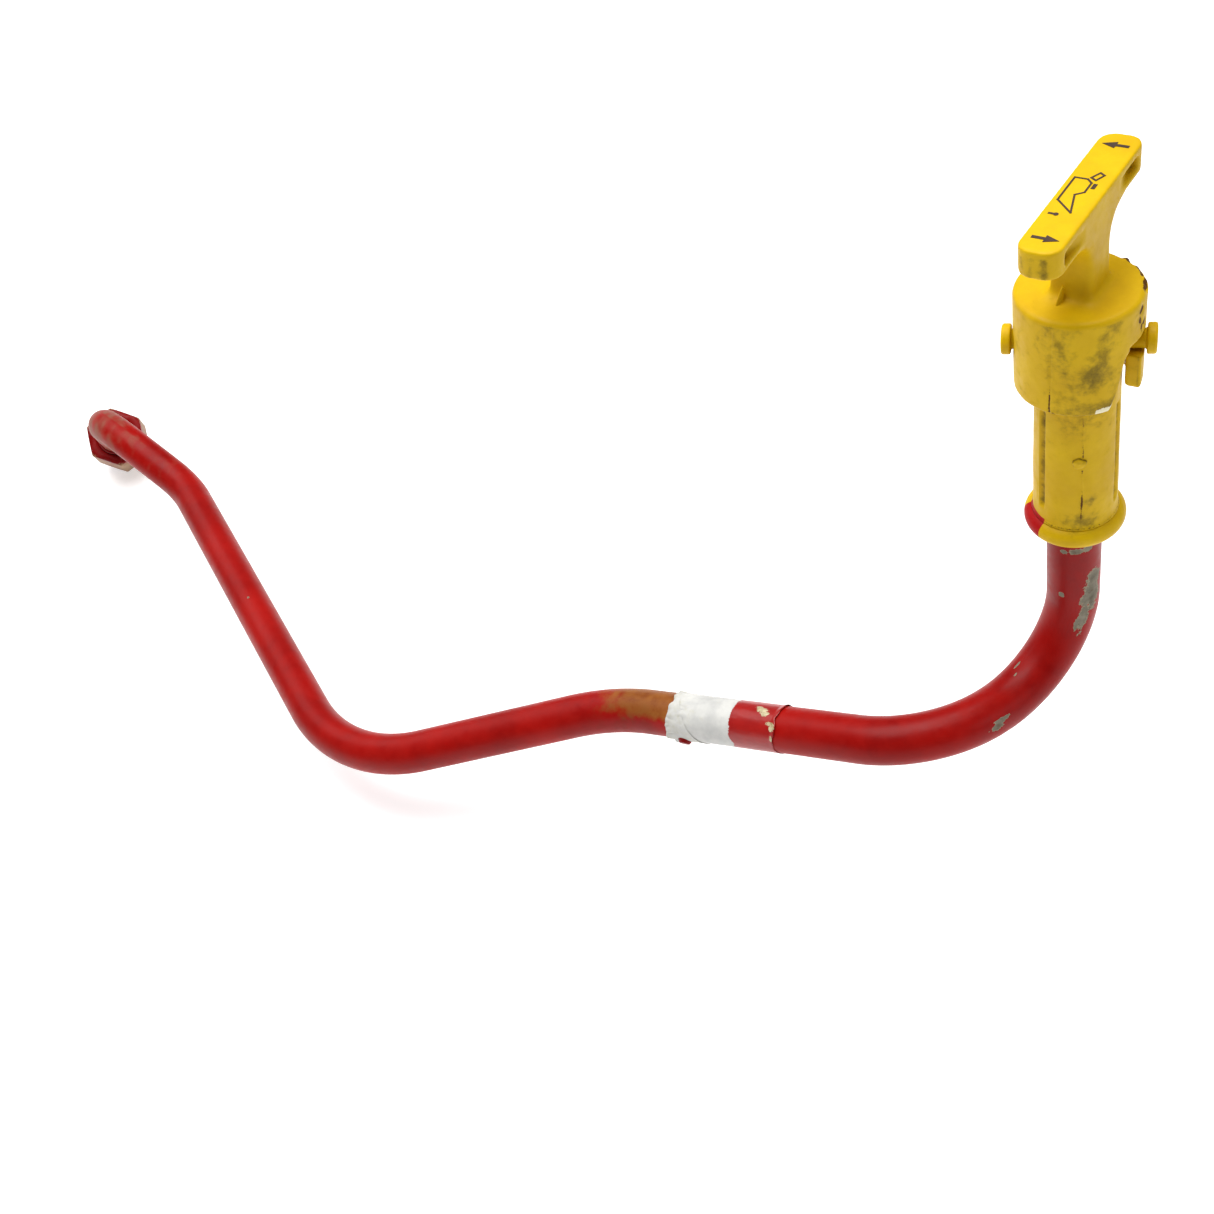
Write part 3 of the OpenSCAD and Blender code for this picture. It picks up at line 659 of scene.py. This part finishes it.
def pinSurface():
    # a short pin with a low dome and an uneven edge, its axis radial
    t = np.linspace(0, 2 * np.pi, 40, endpoint=False)
    lumps = 1 + 0.07 * np.sin(3 * t + 1) + 0.05 * np.sin(5 * t)
    prof = np.array([[10.0, 0.02], [10.0, 2.2], [14.0, 2.3], [14.35, 2.2], [14.6, 1.9], [14.72, 1.3],
                     [14.75, 0.6], [14.76, 0.02]])
    x = prof[:, 0][:, None] + 0 * t
    y, zz = prof[:, 1][:, None] * np.cos(t) * lumps, prof[:, 1][:, None] * np.sin(t) * lumps
    c, s = np.cos(np.radians(pin["turn"])), np.sin(np.radians(pin["turn"]))
    pts = np.stack([x * c - y * s, x * s + y * c, zz + pin["z"]], -1)
    rows, cols = pts.shape[:2]
    faces = (gridFaces(rows, cols, False, True)[:, ::-1].tolist()
             + [list(range(cols)), list(range((rows - 1) * cols, rows * cols))[::-1]])
    return makeMesh("lockPin", pts.reshape(-1, 3), faces), prof


lockPin, prof = pinSurface()
# painted shade in the crease where the pin's head meets the barrel, over a little dirt
foot = np.repeat(((prof[:, 0] > 13.9) & (prof[:, 0] < 14.45)) * 0.55, 40)
keep(lockPin, grime=foot + 0.3, soot=foot * 0.5, scuff=foot * 0, spray=foot * 0)
lockPin.data.materials.append(yellowNylon)
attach(lockPin, "root")
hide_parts("lock_pin")
print("receiver made")


cap = dict(voxel=0.46, smooth=7, skirt=20.1, crown=100.4, top=134.0, rim=64.3, turn=38.5, seam=-142.0)


def moulded(name, parts, voxel, steps):
    # a copy of CAD meshes, merged and closed, remeshed into small even faces and smoothed, so that its
    # edges are as round as a moulding's
    mesh = bpy.data.meshes.new(name)
    bm = bmesh.new()
    for part in parts:
        bm.from_mesh(nodes[part].data)
    bmesh.ops.remove_doubles(bm, verts=bm.verts, dist=2e-6)
    bm.to_mesh(mesh)
    bm.free()
    made = bpy.data.objects.new(name, mesh)
    bpy.context.scene.collection.objects.link(made)
    remesh = made.modifiers.new("skin", "REMESH")
    remesh.mode, remesh.voxel_size = "VOXEL", voxel * mm
    ease = made.modifiers.new("ease", "SMOOTH")
    ease.factor, ease.iterations = 0.5, steps
    graph = bpy.context.evaluated_depsgraph_get()
    final = bpy.data.meshes.new_from_object(made.evaluated_get(graph))
    made.modifiers.clear()
    made.data = final
    final.polygons.foreach_set("use_smooth", np.ones(len(final.polygons), bool))
    return made


capPiece = moulded("nylonCap", ["cap_body", "near_arrow", "far_arrow", "oil_can_outline", "oil_can_handle",
                                "oil_drop"], cap["voxel"], cap["smooth"])
co = np.empty(len(capPiece.data.vertices) * 3, np.float32)
capPiece.data.vertices.foreach_get("co", co)
pos = co.reshape(-1, 3).astype(float) / mm
rad, az = np.hypot(pos[:, 0], pos[:, 1]), np.degrees(np.arctan2(pos[:, 1], pos[:, 0]))
ct, st = np.cos(np.radians(cap["turn"])), np.sin(np.radians(cap["turn"]))
bx, by = pos[:, 0] * ct + pos[:, 1] * st, -pos[:, 0] * st + pos[:, 1] * ct
edgeList = np.empty(len(capPiece.data.edges) * 2, np.int32)
capPiece.data.edges.foreach_get("vertices", edgeList)
first, second = edgeList.reshape(-1, 2).T
share = np.bincount(edgeList, minlength=len(pos)).astype(float)


def eased(points, weight, rounds):
    # each point moves half way to the mean of its neighbours, times its weight, round after round
    for _ in range(rounds):
        mean = np.stack([np.bincount(first, points[second, i], len(points))
                         + np.bincount(second, points[first, i], len(points))
                         for i in range(3)], -1) / share[:, None]
        points = points + 0.5 * weight[:, None] * (mean - points)
    return points


neckZone = (smoothStep(-rad, -16.5, -14) * smoothStep(pos[:, 2], cap["crown"] - 1.2, cap["crown"] - 0.4)
            * (1 - smoothStep(pos[:, 2], 118, 126)))
pos = eased(pos, neckZone, 70)
pos = eased(pos, smoothStep(pos[:, 2], 116, 124), 9)
# chips broken out of the crown's back edge, rough where they broke
rough = ripple(pos[:, 0], pos[:, 1], pos[:, 2], seed=41, size=2.6)
broken = (smoothStep(turnedBy(az, -50), -6, 6) * (1 - smoothStep(turnedBy(az, 36), -5, 4))
          * (0.8 + 0.3 * ripple(az / 7, seed=42, size=3)))
edgeDist = np.hypot(cap["skirt"] - rad, cap["crown"] - pos[:, 2])
chipField = np.clip(broken, 0, 1) * (1 - smoothStep(edgeDist, 0.6, 2.2)) * (rad > 15) * (pos[:, 2] > 94)
side = (smoothStep(turnedBy(az, -60), -5, 5) * (1 - smoothStep(turnedBy(az, -40), -6, 6))
        * smoothStep(pos[:, 2], 86, 90)
        * (1 - smoothStep(pos[:, 2], 97, 100)) * smoothStep(rad, 19.2, 19.8)) * np.clip(0.4 + rough, 0, 1)
cut = 0.95 * chipField * (0.7 + 0.5 * rough) + 0.35 * side
away = np.maximum(rad, 1)
inward = np.stack([pos[:, 0] / away, pos[:, 1] / away, 0.8 * np.ones(len(pos))], -1)
pos = pos - cut[:, None] * inward * np.array([1, 1, 0.9])
# the slot's slanted edge is cut back outside, from the line that the moulder's insert leaves
for lugTurn in (-31.0, 149.0):
    theta = -turnedBy(az, lugTurn)
    edgeLine = np.interp(pos[:, 2], [64.3, 66.5, 71.9, 79.1, 83.8], [59.5, 57.5, 50.8, 43.9, 33.0])
    inside = (edgeLine - theta) * 0.351
    bevel = (np.clip(inside, 0, 5) * (pos[:, 2] < 84) * (theta > 20) * (theta < 64)
             * smoothStep(rad, 15.6, 17.5))
    pos = pos - (0.85 * bevel / np.maximum(rad, 1))[:, None] * np.stack([pos[:, 0], pos[:, 1], 0 * rad], -1)
rad = np.hypot(pos[:, 0], pos[:, 1])
# the skirt's parting line: a shallow groove, deeper at the rim
onSkirt = smoothStep(rad, 19.3, 19.8) * (pos[:, 2] < 99.5)
seamAt = cap["seam"] - 0.04 * (100 - pos[:, 2]) + 0.5 * ripple(pos[:, 2], seed=44, size=18)
seam = np.exp(-(turnedBy(az, seamAt) ** 2)) * onSkirt
seamDepth = 0.16 + 0.5 * np.exp(-((pos[:, 2] - cap["rim"]) / 2.0) ** 2)
radial = np.stack([pos[:, 0] / np.maximum(rad, 1), pos[:, 1] / np.maximum(rad, 1), 0 * rad], -1)
wavy = 0.05 * ripple(az / 8, pos[:, 2] / 5, seed=45, size=2) * onSkirt
pos = pos - (seam * seamDepth - wavy)[:, None] * radial
# the top stays flat under the printed marks
pos[:, 2] = np.where((pos[:, 2] > cap["top"] - 0.4) & (np.abs(by) < 6.2) & (np.abs(bx) < 31.5),
                     np.minimum(pos[:, 2], cap["top"] - 0.01), pos[:, 2])
capPiece.data.vertices.foreach_set("co", (pos * mm).astype(np.float32).ravel())
capPiece.data.update()
# the skirt takes a little dirt all round and painted shade on its front, which faces away from the light,
# strongest at the rim and part way up
lowSkirt = smoothStep(rad, 18.5, 19.5) * (pos[:, 2] < 99)
cloudy = 0.5 + 0.5 * ripple(az / 11, pos[:, 2] / 9, seed=51, size=2.2)
frontShade = np.exp(-(turnedBy(az, -112) / 42) ** 2)
grime = lowSkirt * (0.28 + 0.55 * cloudy * frontShade
                    + 0.55 * np.exp(-((pos[:, 2] - 66.5) / 3.0) ** 2 - (turnedBy(az, -100) / 24) ** 2)
                    + 0.5 * np.exp(-((pos[:, 2] - 80) / 5) ** 2 - (turnedBy(az, -98) / 14) ** 2))
# darker on the bar's end faces, below the top
barEnds = smoothStep(np.abs(bx), 29.5, 31.5) * smoothStep(-pos[:, 2], -cap["top"] + 1.0, -cap["top"] + 2.5)
# painted shade in the two shallow hollows on top of the bar, deepest at their outer ends, and on the skirt's
# slot walls
pockets = (smoothStep(np.abs(bx), 16, 25) * (np.abs(bx) < 27.5) * (np.abs(by) < 5.4) * (pos[:, 2] > 125)
           * (pos[:, 2] < 131.8))
slots = (rad > 14.6) * (rad < 19.4) * (pos[:, 2] < 92) * (pos[:, 2] > 65)
crownDirt = (0.25 * np.clip(ripple(pos[:, 0], pos[:, 1], seed=53, size=12), 0, 1)
             * (np.abs(pos[:, 2] - cap["crown"]) < 0.6) * (rad < 19))
grime = (grime + 0.65 * barEnds * (0.6 + 0.4 * ripple(pos[:, 0], pos[:, 1], seed=54, size=3))
         + 0.75 * pockets + 0.35 * slots + crownDirt)
seamDark = seam * (0.35 + 0.5 * (pos[:, 2] < 72) + 0.35 * np.clip(ripple(pos[:, 2], seed=55, size=12), 0, 1))
rimNotch = (np.exp(-((pos[:, 2] - cap["rim"]) / 1.6) ** 2 - (turnedBy(az, cap["seam"] + 2) / 3) ** 2)
            * (rad > 18))
# the brown layer: dirt in the chips, the parting line and the notch at the rim, and painted shade at the deep
# outer ends of the hollows on top
soot = np.clip(1.15 * chipField + 0.9 * side * np.clip(0.3 + rough, 0, 1) + seamDark + 0.8 * rimNotch
               + 0.35 * pockets * (np.abs(bx) > 24), 0, 1)
scuff = (0.95 * smoothStep(-pos[:, 2], -cap["rim"] - 3.4, -cap["rim"] - 1.4) * smoothStep(az, -107, -98)
         * (1 - smoothStep(az, -78, -72)) * (rad > 17.5))
# a painted highlight along the front of the crown's rounded edge, laid in with the whitish wear
glow = 0.4 * (edgeDist < 1.5) * (np.abs(turnedBy(az, -115)) < 50)
keep(capPiece, grime=grime, soot=soot, scuff=np.clip(scuff + 0.25 * glow, 0, 1), spray=0 * rad)
capPiece.data.materials.append(yellowNylon)
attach(capPiece, "cap")
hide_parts("cap_body")
print("cap:", len(capPiece.data.polygons), "faces")

fin = dict(footX=-9.6, footY=-4.9, height=5.5, length=4.5, thick=0.75)


def neckFin():
    # a thin web at the neck's foot: a lens section that narrows as it rises, turned to run out from the neck
    u, v = np.linspace(0, 1, 14)[:, None], np.linspace(0, 2 * np.pi, 28, endpoint=False)[None, :]
    out = np.array([fin["footX"], fin["footY"]]) / np.hypot(fin["footX"], fin["footY"])
    across = np.array([-out[1], out[0]])
    length, thick = fin["length"] * (1 - 0.75 * u) / 2, fin["thick"] * (1 - 0.55 * u)
    x = length * np.cos(v) - 1.6 * u - 0.6
    y = thick * np.sin(v)
    base = np.array([fin["footX"], fin["footY"]])
    pts = np.stack([base[0] + x * out[0] + y * across[0], base[1] + x * out[1] + y * across[1],
                    cap["crown"] - 0.4 + fin["height"] * u + 0 * v], -1)
    rows, cols = pts.shape[:2]
    faces = (gridFaces(rows, cols, False, True)[:, ::-1].tolist()
             + [list(range(cols))[::-1], list(range((rows - 1) * cols, rows * cols))])
    return makeMesh("neckFin", pts.reshape(-1, 3), faces)


finPiece = neckFin()
flat = np.zeros(len(finPiece.data.vertices))
keep(finPiece, grime=flat + 0.2, soot=flat, scuff=flat, spray=flat)
finPiece.data.materials.append(yellowNylon)
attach(finPiece, "cap")

seal = dict(inner=9.0, outer=13.4, foot=91.02, top=94.58, edge=0.5, squeezed=0.5)


def sealSurface():
    # a square-cut washer with rounded edges, turned about Z
    r, z, e = (seal["inner"], seal["outer"]), (seal["foot"], seal["top"]), seal["edge"]
    profile = np.array(arcPoints(r[1] - e, z[0] + e, e, -90, 0, 6)
                       + arcPoints(r[1] - e, z[1] - e, e, 0, 90, 6)
                       + arcPoints(r[0] + e, z[1] - e, e, 90, 180, 6)
                       + arcPoints(r[0] + e, z[0] + e, e, 180, 270, 6))
    angle = np.linspace(-np.pi, np.pi, 96, endpoint=False)
    return turnedGrid(profile[:, 0], profile[:, 1], angle)


sealPiece = gridPiece("sealWasher", sealSurface(), flip=True)
sealPiece.data.materials.append(sealRubber)
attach(sealPiece, "root")
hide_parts("cap_seal")
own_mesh(sealPiece)
print("seal made")


def finish(material, *names):
    # CAD nodes that keep their own shape take this material
    for name in names:
        nodes[name].data.materials.clear()
        nodes[name].data.materials.append(material)


finish(padInk, "near_arrow", "far_arrow", "oil_can_outline", "oil_can_handle", "oil_drop")
# these take the darker copy of the enamel, painted shade
finish(nutEnamel, "weld_nub", "support_sleeve")
finish(sealRubber, "receiver_seal")
finish(zincSteel, "swivel_stud", "seal_retainer", "swivel_washer", "swivel_cup", "cable_ferrule",
       "blade_ferrule", "gauge_blade", "blade_tip")
finish(oiledCable, "gauge_cable")
print("CAD nodes finished")


studio = dict(world=0.2, key=40.0, side=2.5, back=3.0)
low = cadBox[0]
floorMesh = bpy.data.meshes.new("studioFloor")
floorMesh.from_pydata([(-6, -6, low.z - 0.0006), (6, -6, low.z - 0.0006), (6, 6, low.z - 0.0006),
                       (-6, 6, low.z - 0.0006)], [], [(0, 1, 2, 3)])
floor = bpy.data.objects.new("studioFloor", floorMesh)
bpy.context.scene.collection.objects.link(floor)
floorPaper, tree, surface, place = newMaterial("seamlessPaper")
surface.inputs["Base Color"].default_value = linear("#E6E6E6")
surface.inputs["Roughness"].default_value = 0.9
surface.inputs["Specular IOR Level"].default_value = 0.1
surface.inputs["Emission Color"].default_value = (1, 1, 1, 1)
surface.inputs["Emission Strength"].default_value = 0.5
floorMesh.materials.append(floorPaper)

scene = bpy.context.scene
world = bpy.data.worlds.new("softRoom")
world.use_nodes = True
world.node_tree.nodes["Background"].inputs[0].default_value = (1, 1, 1, 1)
world.node_tree.nodes["Background"].inputs[1].default_value = studio["world"]
scene.world = world
scene.view_settings.view_transform = "Standard"


def areaLight(name, place, target, size, power):
    data = bpy.data.lights.new(name, "AREA")
    data.shape, data.size, data.size_y, data.energy = "RECTANGLE", size, size * 0.7, power
    made = bpy.data.objects.new(name, data)
    scene.collection.objects.link(made)
    z = np.array(place, float) - np.array(target, float)
    z = z / np.linalg.norm(z)
    x = np.cross([0, 0, 1], z)
    x = x / np.linalg.norm(x)
    y = np.cross(z, x)
    made.matrix_world = Matrix([[x[0], y[0], z[0], place[0]], [x[1], y[1], z[1], place[1]],
                                [x[2], y[2], z[2], place[2]], [0, 0, 0, 1]])
    return made


centre = (-0.15, 0.15, -0.03)
areaLight("keySoftbox", (-0.15, 0.35, 1.5), centre, 1.7, studio["key"])
areaLight("sideSoftbox", (0.9, -0.9, 0.5), centre, 0.7, studio["side"])
areaLight("backSoftbox", (-0.8, 1.1, 0.7), centre, 0.8, studio["back"])

camera = bpy.data.objects.new("camera", bpy.data.cameras.new("camera"))
scene.collection.objects.link(camera)
camera.data.sensor_width, camera.data.lens = 36.0, 1500 / 1214 * 36
camera.data.clip_start, camera.data.clip_end = 0.01, 50
right = (0.93983580, -0.27142391, -0.20745537)
up = (0.33866667, 0.66047142, 0.67013610)
back = (-0.04487262, -0.70007612, 0.71265691)
at = (-0.19096, -0.34923, 0.39337)
camera.matrix_world = Matrix([[right[i], up[i], back[i], at[i]] for i in range(3)] + [[0, 0, 0, 1]])
scene.camera = camera
print("stage and camera set")

bpy.context.view_layer.update()
